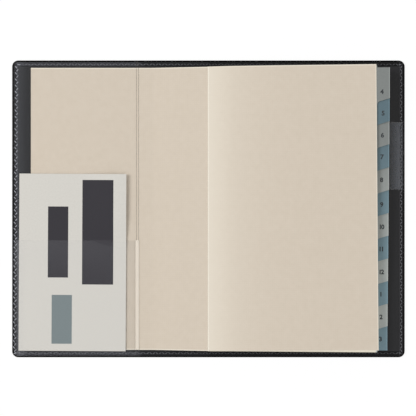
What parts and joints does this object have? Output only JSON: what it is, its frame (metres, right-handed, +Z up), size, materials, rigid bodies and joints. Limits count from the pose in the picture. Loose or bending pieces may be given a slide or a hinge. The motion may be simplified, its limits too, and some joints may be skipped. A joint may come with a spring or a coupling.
{
  "type": "pocket planner",
  "caption": "Pocket planner with a welded vinyl cover, clear inside pockets, stepped month index, loose contact card and leaves that turn.",
  "frame": {"origin": "under the middle of the open cover, on the surface that it lies on", "axes": "+X from the gutter to the fore-edge of the text block, +Y to the head of the pages, +Z up out of the open spread"},
  "size_m": [0.2022, 0.1528, 0.0111],
  "materials": {
    "vinyl": "grained PVC with a welded rim",
    "board": "grey millboard",
    "lining": "smooth matt PVC sheet",
    "clear_film": "clear soft PVC film",
    "cream_paper": "laid cream endpaper",
    "text_paper": "uncoated text paper",
    "index_grey": "text paper with a grey printed index step",
    "index_blue": "text paper with a blue printed index step",
    "card_stock": "printed card",
    "binding_glue": "dried bookbinding glue",
    "gauze": "cotton mull"
  },
  "bodies": {
    "back_cover": {"back_cover_skin": "vinyl", "back_cover_board": "board", "back_cover_lining": "lining", "back_band": "clear_film"},
    "spine": {"spine_skin": "vinyl", "spine_lining": "lining"},
    "front_cover": {"front_cover_skin": "vinyl", "front_cover_board": "board", "front_cover_lining": "lining", "front_sleeve": "clear_film", "card_pocket": "clear_film"},
    "card": {"contact_card": "card_stock"},
    "end_leaf": {"front_end_leaf": "cream_paper"},
    "text_block": {"july_section": "index_blue", "august_section": "index_grey", "september_section": "index_blue", "october_section": "index_grey", "november_section": "index_blue", "december_section": "index_grey", "january_section": "index_blue", "february_section": "index_grey", "march_section": "index_blue", "notes_section": "text_paper", "back_end_leaf": "cream_paper", "binding_glue": "binding_glue", "spine_gauze": "gauze", "front_end_leaf_slope": "cream_paper"},
    "flyleaf": {"flyleaf": "cream_paper"},
    "april": {"april_section": "index_grey"},
    "may": {"may_section": "index_blue"},
    "june": {"june_section": "index_grey"}
  },
  "joints": [
    {"name": "back_fold", "type": "hinge", "parent": "back_cover", "child": "spine", "pos_m": [0.0054, 0, 0.00175], "axis": [0, 1, 0], "range_deg": [0, 90], "deforming": ["spine_skin", "spine_lining", "front_end_leaf_slope"]},
    {"name": "front_fold", "type": "hinge", "parent": "spine", "child": "front_cover", "pos_m": [-0.0054, 0, 0.00175], "axis": [0, 1, 0], "range_deg": [0, 90]},
    {"name": "block_shift", "type": "slide", "parent": "back_cover", "child": "text_block", "axis": [1, 0, 0], "range_m": [0, 0.0058]},
    {"name": "end_leaf_tuck", "type": "slide", "parent": "front_cover", "child": "end_leaf", "axis": [-1, 0, 0], "range_m": [0, 0.0062]},
    {"name": "card_slide", "type": "slide", "parent": "front_cover", "child": "card", "axis": [0.0056, 1, 0], "range_m": [0, 0.058]},
    {"name": "flyleaf_turn", "type": "hinge", "parent": "text_block", "child": "flyleaf", "pos_m": [0, 0, 0.0067], "axis": [0, 1, 0], "range_deg": [-178, 0]},
    {"name": "april_turn", "type": "hinge", "parent": "text_block", "child": "april", "pos_m": [0, 0, 0.0067], "axis": [0, 1, 0], "range_deg": [-175, 0]},
    {"name": "may_turn", "type": "hinge", "parent": "text_block", "child": "may", "pos_m": [0, 0, 0.0067], "axis": [0, 1, 0], "range_deg": [-172, 0]},
    {"name": "june_turn", "type": "hinge", "parent": "text_block", "child": "june", "pos_m": [0, 0, 0.0067], "axis": [0, 1, 0], "range_deg": [-169, 0]}
  ],
  "couplings": [
    {"joint": "back_fold", "follows": "block_shift", "rad_per_m": 270.8},
    {"joint": "front_fold", "follows": "block_shift", "rad_per_m": 270.8},
    {"joint": "end_leaf_tuck", "follows": "block_shift", "ratio": 1.0689},
    {"joint": "april_turn", "follows": "flyleaf_turn", "ratio": 0.98},
    {"joint": "may_turn", "follows": "flyleaf_turn", "ratio": 0.96},
    {"joint": "june_turn", "follows": "flyleaf_turn", "ratio": 0.94}
  ]
}
